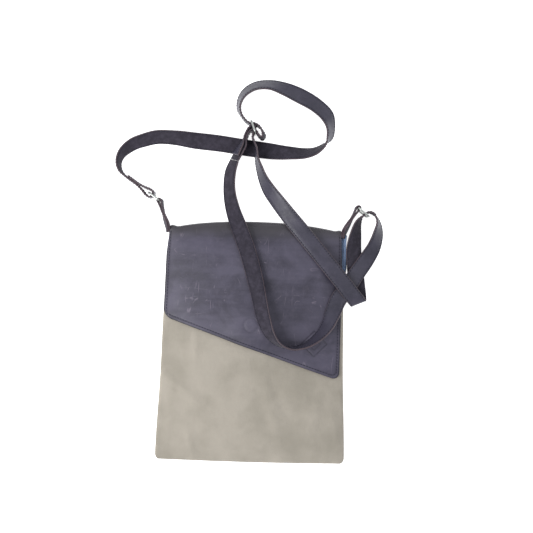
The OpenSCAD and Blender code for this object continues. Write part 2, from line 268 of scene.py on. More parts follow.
def rgb(red, green, blue):
    """A colour given as display values from 0 to 255, as linear numbers."""
    return (*[((c / 255 + 0.055) / 1.055) ** 2.4 if c > 10 else c / 3295 for c in (red, green, blue)], 1)


def scaled(colour, share):
    """The same colour, lighter or darker."""
    return tuple(share * c for c in colour[:3]) + (1,)


def woven(name, colour, dark, per_mm, bump_mm, sheen):
    """A plain-woven cloth: two sets of threads, slubs, slow changes of tone, and painted shade in the gaps
    between the threads.
    """
    n = Nodes(name)
    weave = n.math("MULTIPLY", n.threads(per_mm, "X"), n.threads(per_mm, "Y"))
    slubs = n.noise(0.9, detail=2, stretch=(1, 0.15, 1))
    tone = n.mix(n.span(n.noise(0.018, detail=4), 0.35, 0.7), colour, dark)
    tone = n.mix(n.math("MULTIPLY", n.span(slubs, 0.5, 0.8), 0.25), tone, dark)
    # Painted shade: the colour is darkened in the gaps between the threads, where shade falls in the weave.
    painted_gap_shade = n.math("MULTIPLY", n.span(weave, 0.0, 0.35, 1, 0), 0.35)
    shade = n.mix(painted_gap_shade, tone, scaled(dark, 0.55))
    n.set(Base_Color=shade, Roughness=0.92, Sheen_Weight=sheen, Sheen_Roughness=0.5)
    n.set(Specular_IOR_Level=0.15)
    n.set(Normal=n.bump(slubs, 0.12, n.bump(weave, bump_mm)))
    return n.material


def leather(name, colour, light, dark, rough, scuffs=0.5, band=None, edge_dark=0.75):
    """Waxed pull-up leather: cloudy tone, pale scratches where the wax has moved, and fine grain."""
    n = Nodes(name)
    clouds = n.noise(0.022, detail=5, rough=0.6, distortion=0.6)
    mottle = n.noise(0.16, detail=4, rough=0.65)
    bands = n.noise(0.02, detail=3, rough=0.55, stretch=(0.35, 2.2, 1))
    cloudy = n.math("MULTIPLY", n.math("ADD", clouds, bands), 0.5)
    tone = n.mix(n.span(cloudy, 0.36, 0.64), dark, colour)
    tone = n.mix(n.math("MULTIPLY", n.span(mottle, 0.45, 0.8), 0.16), tone, light)
    # Three sets of thin lines: how many a millimetre, which way they run, and how thin
    scratches = (
        (0.05, (1, 0.12, 1), 0.010), (0.06, (0.12, 1, 1), 0.007), (0.03, (0.9, 0.4, 1), 0.006),
    )
    marks = None
    for scale, stretch, low in scratches:
        line = n.noise(scale, detail=0.6, rough=0.4, stretch=stretch, distortion=0.25)
        thin = n.span(n.math("ABSOLUTE", n.math("SUBTRACT", line, 0.5)), 0.0, low, 1, 0)
        patch = n.span(n.noise(0.06, detail=2, stretch=(1.3, 0.9, 1)), 0.54, 0.66)
        thin = n.math("MULTIPLY", thin, patch)
        marks = thin if marks is None else n.math("MAXIMUM", marks, thin)
    tone = n.mix(n.math("MULTIPLY", marks, scuffs), tone, light)
    if band is not None:
        where = n.add("ShaderNodeSeparateXYZ", Vector=n.place).outputs[1]
        ragged = n.math("ADD", where, n.math("MULTIPLY", n.noise(0.03), 12 * MM))
        tone = n.mix(n.math("MULTIPLY", n.span(ragged, 160 * MM, 186 * MM), 0.85), tone, band)
    tone = n.mix(n.math("MULTIPLY", n.attribute("edge"), edge_dark), tone, scaled(dark, 0.35))
    n.set(Base_Color=tone, Specular_IOR_Level=0.4)
    n.set(Roughness=n.span(mottle, 0.3, 0.8, rough - 0.08, rough + 0.1))
    grain = n.bump(n.cells(1.1), 0.10, strength=0.5)
    grain = n.bump(n.noise(2.6, detail=3), 0.07, grain, strength=0.6)
    n.set(Normal=n.bump(mottle, 0.25, grain, strength=0.4))
    return n.material


def suede(name, colour, light, dark):
    """The rough flesh side: short fibres and no shine."""
    n = Nodes(name)
    fibres = n.noise(1.6, detail=5, rough=0.7)
    nap = n.noise(0.11, detail=4, rough=0.6)
    tone = n.mix(n.span(nap, 0.35, 0.7), dark, colour)
    tone = n.mix(n.math("MULTIPLY", n.span(fibres, 0.5, 0.8), 0.5), tone, light)
    tone = n.mix(n.math("MULTIPLY", n.attribute("edge"), 0.6), tone, scaled(dark, 0.5))
    n.set(Base_Color=tone, Roughness=0.95, Sheen_Weight=0.15, Sheen_Roughness=0.4)
    n.set(Specular_IOR_Level=0.1, Normal=n.bump(fibres, 0.25, n.bump(nap, 0.3, strength=0.5)))
    return n.material


def metal(name, colour, rough):
    """Plated metal, a little worn."""
    n = Nodes(name)
    worn = n.noise(0.4, detail=4)
    n.set(Base_Color=n.mix(n.span(worn, 0.4, 0.7), colour, scaled(colour, 0.85)))
    n.set(Metallic=1.0, Roughness=n.span(worn, 0.35, 0.75, rough, rough + 0.14))
    n.set(Normal=n.bump(n.noise(3.0), 0.02, strength=0.4))
    return n.material


def twisted_thread(name, colour):
    n = Nodes(name)
    strands = n.noise(2.2, detail=2)
    n.set(Base_Color=n.mix(strands, colour, scaled(colour, 1.8)), Roughness=0.7)
    n.set(Normal=n.bump(strands, 0.1))
    return n.material


def paper_floor():
    """White paper that also glows, so that it stays white right round the bag."""
    n = Nodes("floor")
    grey = [(c, c, c, 1) for c in (0.93, 0.96, 0.97, 1)]
    n.set(Base_Color=n.mix(n.noise(0.004), grey[0], grey[1]), Roughness=0.9)
    n.set(Emission_Color=n.mix(n.noise(0.004), grey[2], grey[3]), Emission_Strength=0.85)
    n.set(Specular_IOR_Level=0.1)
    return n.material


CANVAS = woven("canvas", rgb(180, 172, 160), rgb(162, 155, 143), 1.15, 0.16, 0.1)
LINING = woven("lining", rgb(150, 172, 208), rgb(134, 156, 194), 2.2, 0.06, 0.1)
FLAP = leather("flap_leather", rgb(80, 76, 92), rgb(114, 106, 120), rgb(56, 53, 66), 0.5, 0.7,
               band=rgb(68, 65, 68))
BACKING = suede("flap_backing", rgb(70, 67, 76), rgb(86, 83, 92), rgb(58, 56, 63))
SMOOTH = leather("strap_smooth", rgb(66, 63, 77), rgb(92, 88, 102), rgb(52, 50, 62), 0.42, 0.4)
FLESH = suede("strap_flesh", rgb(66, 62, 72), rgb(84, 79, 89), rgb(52, 49, 57))
EDGE = leather("cut_edge", rgb(88, 74, 80), rgb(112, 98, 104), rgb(70, 58, 66), 0.45, 0.1,
               edge_dark=0.2)
NICKEL = metal("nickel", (0.42, 0.44, 0.42, 1), 0.2)
BRASS = metal("snap_metal", (0.62, 0.58, 0.46, 1), 0.28)
MAGNET = metal("magnet", (0.10, 0.10, 0.11, 1), 0.5)
THREAD = twisted_thread("thread", rgb(24, 23, 38))
SAND_THREAD = twisted_thread("sand_thread", rgb(150, 142, 130))

# ---------------------------------------------------------------- mesh helpers


def add_mesh(name, points, faces, materials, face_materials=None, edge=None):
    """A mesh object from points in millimetres. edge is a value a point, for materials that darken edges."""
    mesh = bpy.data.meshes.new(name)
    mesh.from_pydata((np.asarray(points, float) * MM).tolist(), [], [list(map(int, f)) for f in faces])
    for material in materials:
        mesh.materials.append(material)
    if face_materials is not None:
        mesh.polygons.foreach_set("material_index", np.asarray(face_materials, np.int32))
    if edge is not None:
        mesh.attributes.new("edge", "FLOAT", "POINT").data.foreach_set("value", np.asarray(edge, np.float32))
    mesh.polygons.foreach_set("use_smooth", np.ones(len(mesh.polygons), bool))
    mesh.validate()
    mesh.update()
    obj = bpy.data.objects.new(name, mesh)
    bpy.context.scene.collection.objects.link(obj)
    return obj


def unit(v):
    return v / np.maximum(np.linalg.norm(v, axis=-1, keepdims=True), 1e-9)


def grid_faces(rows, cols, start=0, flip=False):
    r, c = np.meshgrid(np.arange(rows - 1), np.arange(cols - 1), indexing="ij")
    a = (start + r * cols + c).ravel()
    quads = np.stack([a, a + 1, a + cols + 1, a + cols], 1)
    return quads[:, ::-1] if flip else quads


def slab(name, middle, thick, materials, rim=(0.35, 0.72, 0.93), edge=None):
    """A closed sheet of that thickness round a grid of middle points. Its rim is rounded over the first
    rows and columns, and its materials are the upper side's, the lower side's and the rim's."""
    rows, cols = middle.shape[:2]
    normal = unit(np.cross(np.gradient(middle, axis=1), np.gradient(middle, axis=0)))
    share = np.ones((rows, cols))
    for i, s in enumerate(rim):
        for part in (share[i], share[rows - 1 - i], share[:, i], share[:, cols - 1 - i]):
            np.minimum(part, s, out=part)
    half = normal * (share * 0.5)[..., None] * np.broadcast_to(thick, (rows, cols))[..., None]
    points = np.concatenate([(middle + half).reshape(-1, 3), (middle - half).reshape(-1, 3)])
    n = rows * cols
    border = np.concatenate([
        np.arange(cols), np.arange(1, rows) * cols + cols - 1,
        (rows - 1) * cols + np.arange(cols - 2, -1, -1), np.arange(rows - 2, 0, -1) * cols,
    ])
    after = np.roll(border, -1)
    walls = np.stack([border, border + n, after + n, after], 1)
    faces = np.concatenate([grid_faces(rows, cols), grid_faces(rows, cols, n, True), walls])
    m = (rows - 1) * (cols - 1)
    kinds = np.concatenate([np.zeros(m), np.ones(m), np.full(len(walls), 2)])
    if edge is None:
        edge = np.where(share < 1, 1 - share, 0)
    return add_mesh(name, points, faces, materials, kinds, np.concatenate([edge.ravel()] * 2))


def between(t, start, end, a, b):
    return (end - t) / (end - start) * a + (t - start) / (end - start) * b


def spline(points, samples):
    """Points and anything that goes with them, smoothly joined: centripetal Catmull-Rom through each row."""
    p = np.asarray(points, float)
    p = np.vstack([2 * p[0] - p[1], p, 2 * p[-1] - p[-2]])
    step = np.sqrt(np.maximum(np.linalg.norm(np.diff(p[:, :3], axis=0), axis=1), 1e-3))
    out = []
    for i in range(1, len(p) - 2):
        t0, t1, t2, t3 = np.concatenate([[0], np.cumsum(step[i - 1:i + 2])])
        count = max(4, math.ceil(np.linalg.norm(p[i + 1, :3] - p[i, :3]) / samples))
        for t in np.linspace(t1, t2, count, endpoint=False):
            a1 = between(t, t0, t1, p[i - 1], p[i])
            a2 = between(t, t1, t2, p[i], p[i + 1])
            a3 = between(t, t2, t3, p[i + 1], p[i + 2])
            b1, b2 = between(t, t0, t2, a1, a2), between(t, t1, t3, a2, a3)
            out.append(between(t, t1, t2, b1, b2))
    out.append(p[-2])
    return np.array(out)


def ribbon_frames(route, samples=2.2):
    """Middle points, width directions and smooth-face directions along a route."""
    rows = []
    for x, y, z, compass, rise in route:
        a, e = math.radians(compass), math.radians(rise)
        rows.append([x, y, z, math.cos(e) * math.cos(a), math.cos(e) * math.sin(a), math.sin(e)])
    path = spline(rows, samples)
    middle = path[:, :3]
    travel = unit(np.gradient(middle, axis=0))
    side = unit(path[:, 3:])
    face = unit(np.cross(side, travel))
    return middle, side, face


# Half of a strap's section: how far out, and how far up from the middle, as shares of half the width
# and of half the thickness. The dips are the two rows of stitches.
SECTION = [(1.0, 0.0), (0.992, 0.45), (0.972, 0.82), (0.94, 1.0), (0.86, 1.0), (0.82, 0.84), (0.78, 1.0),
           (0.4, 1.03), (0.0, 1.04)]


def ribbon(name, frames, width, thick, materials, shares=None):
    """A flat strap along its frames: smooth face, rough face and cut edges in their own materials."""
    middle, side, face = frames
    right = [(w, h) for w, h in SECTION]
    upper = right + [(-w, h) for w, h in right[-2::-1]]
    lower = [(w, -h) for w, h in upper[-2:0:-1]]
    section = np.array(upper + lower)
    count, k = len(middle), len(section)
    half = (np.ones(count) if shares is None else shares)[:, None, None] * width / 2
    points = (middle[:, None] + side[:, None] * section[None, :, 0, None] * half
              + face[:, None] * section[None, :, 1, None] * thick / 2)
    ring = np.arange(k)
    faces, kinds = [], []
    split = len(upper) - 1
    kind = np.where(ring < split, 0, 1)
    rim = np.abs(section[:, 0] + np.roll(section[:, 0], -1)) / 2 > 0.955
    kind[rim] = 2
    for i in range(count - 1):
        a, b = i * k + ring, i * k + (ring + 1) % k
        faces.append(np.stack([a, a + k, b + k, b], 1))
        kinds.append(kind)
    caps = [list(range(k)), list(range((count - 1) * k, count * k))[::-1]]
    edge = np.tile(np.where(np.abs(section[:, 0]) > 0.9, 0.8, 0.0), count)
    every = [list(f) for f in np.concatenate(faces)] + caps
    return add_mesh(name, points.reshape(-1, 3), every, materials, list(np.concatenate(kinds)) + [2, 2], edge)


def bead():
    """One stitch, of length 1 along X: a slim capsule, as points and faces."""
    points, faces = [], []
    rings, around = 5, 6
    for i in range(rings):
        along = -math.cos(math.pi * i / (rings - 1))
        r = max(0.15, math.sin(math.pi * i / (rings - 1)) ** 0.6)
        for j in range(around):
            a = 2 * math.pi * j / around
            points.append((along / 2, r * math.cos(a), r * math.sin(a)))
    for i in range(rings - 1):
        here, ahead = i * around, (i + 1) * around
        for j in range(around):
            k = (j + 1) % around
            faces.append((here + j, ahead + j, ahead + k, here + k))
    faces.append(tuple(range(around)))
    faces.append(tuple(reversed(range((rings - 1) * around, rings * around))))
    return np.array(points), faces


def stitches(name, rows, material, pitch=3.4, length=2.5, thick=0.75, sunk=0.1):
    """Thread stitches along rows. Each row is points on a surface with the surface's directions there."""
    template, template_faces = bead()
    points, faces = [], []
    for path, up in rows:
        path, up = np.asarray(path, float), np.asarray(up, float)
        reach = np.concatenate([[0], np.cumsum(np.linalg.norm(np.diff(path, axis=0), axis=1))])
        for d in np.arange(pitch / 2, reach[-1] - pitch / 2, pitch):
            here, ahead = (np.array([np.interp(s, reach, path[:, k]) for k in range(3)])
                           for s in (d, min(d + 1, reach[-1])))
            normal = unit(np.array([np.interp(d, reach, up[:, k]) for k in range(3)]))
            along = unit(ahead - here)
            across = unit(np.cross(normal, along))
            along = unit(along + 0.12 * across)
            base = len(points) * len(template)
            points.append(here + normal * (thick * 0.25 - sunk) + template[:, :1] * length * along
                          + template[:, 1:2] * thick / 2 * across + template[:, 2:] * thick / 2 * normal)
            faces += [tuple(base + v for v in f) for f in template_faces]
    return add_mesh(name, np.concatenate(points), faces, [material])


def strap_rows(frames, width, thick):
    """The rows of stitches on both faces of a strap."""
    middle, side, face = frames
    rows = []
    for s in (1, -1):
        for f in (1, -1):
            at = middle + side * s * STITCH_OUT * width / 2 + face * f * thick / 2
            rows.append((at, face * f))
    return rows


def tube(name, path, radius, material, closed=True, around=12):
    """A round wire along a path."""
    path = np.asarray(path, float)
    if closed:
        travel = unit(np.roll(path, -1, axis=0) - np.roll(path, 1, axis=0))
    else:
        travel = unit(np.gradient(path, axis=0))
    out = unit(path - path.mean(0))
    across = unit(np.cross(travel, out))
    out = np.cross(across, travel)
    a = np.linspace(0, 2 * math.pi, around, endpoint=False)
    cos, sin = np.cos(a)[None, :, None], np.sin(a)[None, :, None]
    points = path[:, None] + radius * (cos * out[:, None] + sin * across[:, None])
    count = len(path)
    faces = []
    for i in range(count if closed else count - 1):
        for j in range(around):
            n, k = (i + 1) % count, (j + 1) % around
            faces.append((i * around + j, i * around + k, n * around + k, n * around + j))
    if not closed:
        faces += [tuple(range(around))[::-1], tuple(range((count - 1) * around, count * around))]
    return add_mesh(name, points.reshape(-1, 3), faces, [material])


def lathe(name, profile, centre, material, around=64):
    """A turned piece: a closed profile of radius and height, round an upright axis."""
    a = np.linspace(0, 2 * math.pi, around, endpoint=False)
    p = np.asarray(profile, float)
    ring = np.stack([np.cos(a), np.sin(a)], 1)
    points = [[centre[0] + r * c, centre[1] + r * s, centre[2] + h] for c, s in ring for r, h in p]
    k = len(p)
    faces = []
    for i in range(around):
        here, ahead = i * k, (i + 1) % around * k
        faces += [(here + j, ahead + j, ahead + (j + 1) % k, here + (j + 1) % k) for j in range(k)]
    obj = add_mesh(name, points, faces, [material])
    bevel = obj.modifiers.new("bevel", "BEVEL")
    bevel.width, bevel.segments, bevel.limit_method = 0.22 * MM, 2, "ANGLE"
    return obj


def joined(name, parts):
    """Several pieces as one object."""
    for o in bpy.context.selected_objects:
        o.select_set(False)
    for o in parts:
        o.select_set(True)
    bpy.context.view_layer.objects.active = parts[0]
    bpy.ops.object.join()
    parts[0].name = name
    return parts[0]


# ---------------------------------------------------------------- the bag's shape


def smooth(t):
    t = np.clip(t, 0, 1)
    return t * t * (3 - 2 * t)


def half_w(y):
    """Half the bag's width at that height."""
    return BOTTOM_HALF + (TOP_HALF - BOTTOM_HALF) * (y - BOTTOM_Y) / BAG_H


def top_y(x):
    """The bag's top edge: a low arch, with an ear over each sewn-in tab."""
    ears = 4.5 * np.exp(-((x + 127) / 6) ** 2) + 3.0 * np.exp(-((x - 128) / 5) ** 2)
    return CORNER_Y + ARCH * (1 - (x / TOP_HALF) ** 2) - 0.5 + ears


def pocket_z(x, y):
    """Height of the filled pocket, crowned in the middle and flat at its seams."""
    side = np.maximum(0, 1 - np.abs(x) / half_w(y))
    rise = np.clip((y - BOTTOM_Y) / (MOUTH_Y - BOTTOM_Y), 0, 1)
    return FLOOR_Z + CROWN * (1 - (1 - side) ** 3) * (1 - (1 - rise) ** 4)


def cover_z(x, y):
    """Height of the pocket's inner surface, or of its carried-on line under the flap."""
    off = np.maximum(0, np.hypot(x - SNAP[0], y - SNAP[1]) - SNAP_FLAT_R)
    low = pocket_z(x, y) + SNAP_LIFT * np.exp(-((off / SNAP_SPREAD) ** 2))
    reach = np.clip((y - MOUTH_Y) / (top_y(x) - FOLD_IN + 1 - MOUTH_Y), 0, 0.99)
    high = pocket_z(x, np.full_like(x, MOUTH_Y))
    high = high + (FOLD_Z - high) * (1 - np.sqrt(1 - reach**2))
    return np.where(y < MOUTH_Y, low, high)


def soft_noise(x, y, wave, seed):
    """Smooth random heights, about -1 to 1, with that wavelength."""
    octaves = 3
    flat = [noise.fractal(Vector((a / wave, b / wave, seed)), 1.0, 2.0, octaves)
            for a, b in zip(x.ravel(), y.ravel())]
    return np.array(flat).reshape(x.shape)


def crease(x, y, start, end, width, height):
    """A long soft ridge between two points."""
    s, e = np.array(start, float), np.array(end, float)
    run = e - s
    t = np.clip(((x - s[0]) * run[0] + (y - s[1]) * run[1]) / (run @ run), 0, 1)
    off = np.hypot(x - s[0] - t * run[0], y - s[1] - t * run[1])
    return height * np.exp(-(off / width) ** 2) * np.sin(np.pi * (0.08 + 0.84 * t))


# The front canvas's long creases: from, to, width and height.
CREASES = [
    ((-140, -40), (-70, -92), 7, 1.6), ((-128, -58), (-84, -78), 5, -0.9), ((-86, 22), (-84, -34), 6, 1.1),
    ((-96, -122), (-86, -166), 6, 1.2), ((16, -40), (46, -150), 9, 1.1), ((30, -50), (62, -120), 7, -0.8),
    ((-30, -20), (-52, -96), 10, 0.8), ((104, -60), (88, -150), 8, 0.9), ((-60, -150), (60, -164), 7, 0.9),
    ((120, -90), (134, -150), 6, 0.9), ((-120, -100), (-128, -150), 6, 0.8),
]


def canvas_relief(x, y):
    """Wrinkles of the front canvas, calmer where the flap lies on it, with puckers along the seams."""
    relief = 0.75 * soft_noise(x, y, 55, 3.1) + 0.35 * soft_noise(x, y, 19, 7.7)
    for start, end, width, height in CREASES:
        relief = relief + crease(x, y, start, end, width, height)
    side = half_w(y) - np.abs(x)
    low = y - BOTTOM_Y
    pucker = 0.45 * np.sin(y / 3.1 + 1.5 * np.sin(y / 17)) * np.exp(-side / 7)
    pucker = pucker + 0.45 * np.sin(x / 3.4 + 1.7 * np.sin(x / 21)) * np.exp(-low / 8)
    under = smooth((y - flap_edge(x) + 6) / 12)
    fade = np.minimum(1, np.minimum(side, low) / 9)
    return (1.35 * relief * fade + pucker) * (1 - 0.85 * under)


def flap_edge(x):
    """The flap's slanted edge, without its round corners."""
    t = (x - FLAP_LEFT_X) / (FLAP_RIGHT_X - FLAP_LEFT_X)
    return FLAP_EDGE_Y - FLAP_SLANT * t


def flap_inset(x, y):
    """How far a point is inside the flap's outline, which has round corners."""
    slope = FLAP_SLANT / (FLAP_RIGHT_X - FLAP_LEFT_X)
    side = np.minimum(x - flap_left(y), FLAP_RIGHT_X - x)
    low = (y - flap_edge(x)) / math.hypot(1, slope)
    r = FLAP_CORNER_R
    corner = r - np.hypot(np.minimum(side - r, 0), np.minimum(low - r, 0))
    return np.where((side < r) & (low < r), corner, np.minimum(side, low))


def flap_left(y):
    """The flap's left side, which leans outward going down."""
    return FLAP_TOP_LEFT_X + (FLAP_LEFT_X - FLAP_TOP_LEFT_X) * np.clip((CORNER_Y - y) / 131, 0, 1.2)


def flap_relief(x, y):
    """Slow waves of the flap and its creases, which its backing shares."""
    relief = 0.55 * soft_noise(x, y, 70, 12.3) + 0.16 * soft_noise(x, y, 22, 4.4)
    relief = relief + crease(x, y, (-118, 168), (-60, 172), 5, 0.5)
    relief = relief + crease(x, y, (-60, 160), (-84, 120), 4, 0.35)
    return relief * np.clip(flap_inset(x, y) / 14, 0.25, 1)


def flap_marks(x, y):
    """What is pressed into the outer leather: stitch line, the snap's round mark, plain lozenge."""
    groove = -0.35 * np.exp(-(((flap_inset(x, y) - FLAP_STITCH_IN) / 0.8) ** 2)) * (y < FLAP_FOLD_Y)
    off = np.hypot(x - SNAP[0], y - SNAP[1])
    snap = 0.5 * smooth((9.5 - off) / 2.5) - 0.25 * np.exp(-(((off - 10.5) / 1.4) ** 2))
    lozenge = (np.abs(x - MARK[0]) + np.abs(y - MARK[1])) / math.sqrt(2)
    outer = -0.75 * np.exp(-(((lozenge - 13.5) / 0.95) ** 2))
    inner = -0.5 * np.exp(-(((lozenge - 6.5) / 0.9) ** 2))
    return groove + snap + (outer + inner)


def spaced(low, high, step, inset):
    """Values from low to high about a step apart, with the given extra ones near each end."""
    ends = [low + d for d in inset] + [high - d for d in inset]
    reach = max(inset)
    count = max(2, int((high - low - 2 * reach) / step))
    return np.array(sorted(set(ends) | set(np.linspace(low + reach, high - reach, count))))


# How far in from an edge the first lines of a grid lie.
RIM = (0, 0.35, 0.9, 1.7)
WIDE_RIM = RIM + (2.6, 3.6, 5)
# The width and height that turn those into shares of a back or front panel.
RIM_W, RIM_H = 138, 300
HEM = (0, 0.35, 0.9, 1.7, 2.6, 3.3, 3.8, 4.2, 4.6, 5.0, 5.6, 6.6)


def denser(values, low, high, step):
    """The same values, with a finer step between two of them."""
    keep = [v for v in values if not low < v < high]
    return np.array(sorted(keep + list(np.arange(low, high, step))))


# ---------------------------------------------------------------- the bag's pieces


def panel_width(y):
    """Half a panel's width there, with a slightly wavy side and a round bottom corner."""
    corner = np.maximum(0, 1 - (y - BOTTOM_Y) / 9)
    return half_w(y) + 0.5 * np.sin(y / 30) - 7.2 * (1 - np.sqrt(1 - corner**2))


def seam_roll(inside):
    """From 0 on a seam to 1 where the cloth has rounded over into the panel."""
    return np.sqrt(1 - (1 - np.clip(inside / SEAM_R, 0, 1)) ** 2)


def bottom_sag(u, y):
    """How far the bottom edge hangs down in the middle."""
    return 1.4 * np.sin(np.pi * (u + 1) / 2) * np.clip(1 - (y - BOTTOM_Y) / 40, 0, 1)


def make_front():
    """The front canvas and its lining: a loft from the side seams over the filled middle."""
    u = spaced(-1, 1, 0.0105, [d / RIM_W for d in WIDE_RIM])
    y = spaced(BOTTOM_Y, MOUTH_Y, 1.5, WIDE_RIM)
    u, y = np.meshgrid(u, y)
    width = panel_width(y)
    x = u * width
    roll = seam_roll(np.minimum(width * (1 - np.abs(u)), y - BOTTOM_Y))
    y = y - bottom_sag(u, y)
    top = pocket_z(x, np.maximum(y, BOTTOM_Y)) + CANVAS_TOP * roll + canvas_relief(x, y)
    top = np.minimum(top, cover_z(x, y) + UNDER_FLAP + 20 * (y < flap_edge(x) - 3))
    thick = 0.3 + 0.9 * roll
    middle = np.stack([x, y, top - thick / 2], -1)
    front = slab("front_canvas", middle, thick, [CANVAS] * 3, rim=(), edge=0 * x)
    lining_z = pocket_z(x, np.maximum(y, BOTTOM_Y)) + 0.35 + 0.15 * roll
    keep = slice(None, None, 3)
    inner = np.stack([x * 0.992, y - 1.5 * (y > 0), lining_z], -1)[keep, keep]
    lining = slab("front_lining_cloth", inner, 0.5, [LINING] * 3, rim=(), edge=0 * inner[..., 0])
    hem_x = np.linspace(-0.97, 0.97, 160) * half_w(MOUTH_Y)
    rows = []
    for at in (MOUTH_Y - 3, MOUTH_Y - 14):
        y_row = np.full_like(hem_x, at)
        z = pocket_z(hem_x, y_row) + CANVAS_TOP + canvas_relief(hem_x, y_row)
        z = np.minimum(z, cover_z(hem_x, y_row) + UNDER_FLAP)
        rows.append((np.stack([hem_x, y_row, z], -1), np.tile([0, 0, 1.0], (len(hem_x), 1))))
    hem = stitches("mouth_stitches", rows, SAND_THREAD, 3.2, 2.3, 0.5)
    return front, lining, hem


def side_bulge(y):
    """How far the open right side stands out beyond the flap, above the pocket's mouth."""
    return 8.0 * smooth((y - 96) / 26) * (0.8 + 0.2 * smooth((y - 150) / 30))


def make_back():
    """The back: canvas below, a leather yoke above it, and the lining over both."""
    pieces = []
    # Each panel's name, lower edge, level upper edge if it has one, and material
    panels = (
        ("back_canvas", BOTTOM_Y, YOKE_Y + 1, CANVAS),
        ("back_yoke_leather", YOKE_Y, None, FLAP),
    )
    for name, low_y, high_y, material in panels:
        u = spaced(-1, 1, 0.025, [d / RIM_W for d in WIDE_RIM])
        v = spaced(0, 1, 0.02, [d / RIM_H for d in WIDE_RIM])
        u, v = np.meshgrid(u, v)
        top = YOKE_Y + 1 if high_y else top_y(u * TOP_HALF) - FOLD_IN
        y = low_y + (top - low_y) * v
        width = panel_width(y) - (0 if high_y else 0.6)
        x = u * width + side_bulge(y) * np.maximum(u, 0) ** 6
        inside = width * (1 - np.abs(u))
        if high_y:
            inside = np.minimum(inside, y - BOTTOM_Y)
        roll = seam_roll(inside)
        thick = 0.3 + 1.1 * roll
        low = 2.6 * (1 - roll) + 0.1
        middle = np.stack([x, y - bottom_sag(u, y), low + thick / 2], -1)
        pieces.append(slab(name, middle, thick, [material] * 3, rim=(), edge=0 * x))
    u = spaced(-1, 1, 0.02, (0, 0.003, 0.01))
    v = spaced(0, 1, 0.012, (0, 0.002, 0.006))
    u, v = np.meshgrid(u, v)
    y = BOTTOM_Y + 3 + (top_y(u * TOP_HALF) - FOLD_IN - 0.5 - BOTTOM_Y - 3) * v
    bulge = side_bulge(y) + 0.6 * smooth((y - 100) / 20)
    x = u * (half_w(y) - 2.0) + bulge * np.maximum(u, 0) ** 6
    up = 3.5 * smooth((u - 0.93) / 0.07) * smooth((y - 100) / 30)
    up = up + 0.5 * soft_noise(x, y, 40, 9.9) * smooth((y - 110) / 20)
    z = 2.1 + np.maximum(up, 0) + 3.0 * smooth((y - 168) / 10)
    pieces.append(slab("back_lining_cloth", np.stack([x, y, z], -1), 0.5, [LINING] * 3, rim=(), edge=0 * x))
    under = np.linspace(-0.96, 0.96, 160) * half_w(YOKE_Y)
    rows = [(np.stack([under, np.full_like(under, YOKE_Y + d), np.full_like(under, 0.12)], -1),
             np.tile([0, 0, -1.0], (len(under), 1))) for d in (3, 6)]
    pieces.append(stitches("yoke_stitches", rows, THREAD, 3.4, 2.5, 0.5, 0.12))
    return pieces


def flap_grid(mid, relief_of):
    """Middle points of a flap layer: from the slanted edge up the front, over the fold and under the top."""
    half = (FLAP_RIGHT_X - FLAP_TOP_LEFT_X) / 2
    u_x = denser(spaced(-half, half, 1.9, HEM), MARK[0] - 22, MARK[0] + 22, 0.8)
    offsets = np.array(sorted(set(HEM) | set(np.arange(7.6, 80, 0.95))))
    upper = np.linspace(0, 1, 62)[1:]
    side = np.maximum(0, 1 - (half - np.abs(u_x)) / FLAP_CORNER_R)
    edge_y = flap_edge(u_x) + FLAP_CORNER_R * (1 - np.sqrt(1 - side**2)) * 1.05
    fold_y = top_y(u_x) - FOLD_IN
    rows = [edge_y + d for d in offsets]
    start = rows[-1]
    rows += [start + (fold_y - start) * t for t in upper]
    y = np.array(rows)
    x = np.broadcast_to(u_x, y.shape)
    along = (y - edge_y) / (fold_y - edge_y)
    tuck = FLAP_TUCK * np.clip((along - 0.7) / 0.2, 0, 1)
    x = x + np.minimum(u_x, 0) / half * (FLAP_TOP_LEFT_X - flap_left(y)) - u_x / half * tuck
    relief = relief_of(x, y)
    base = np.stack([x, y, cover_z(x, y)], -1)
    normal = unit(np.cross(np.gradient(base, axis=1), np.gradient(base, axis=0)))
    front = base + normal * (mid + relief)[..., None]
    # The fold: half an ellipse from the last row round to the underside
    last = front[-1]
    low = LEATHER_T / 2 + (LEATHER_MID - mid) * 0.9 + 0.1
    rise = (last[:, 2] - low) / 2
    out = FOLD_IN - (LEATHER_MID - mid) * 0.8
    turn = []
    for a in np.linspace(80, -90, 14):
        c, s = math.cos(math.radians(a)), math.sin(math.radians(a))
        turn.append(np.stack([last[:, 0], last[:, 1] + out * c, low + rise * (1 + s)], -1))
    for back in (3, 6, 6.8, 7.3, 7.6):
        turn.append(turn[13] - np.array([0, back, 0]))
    return np.concatenate([front, np.array(turn)])


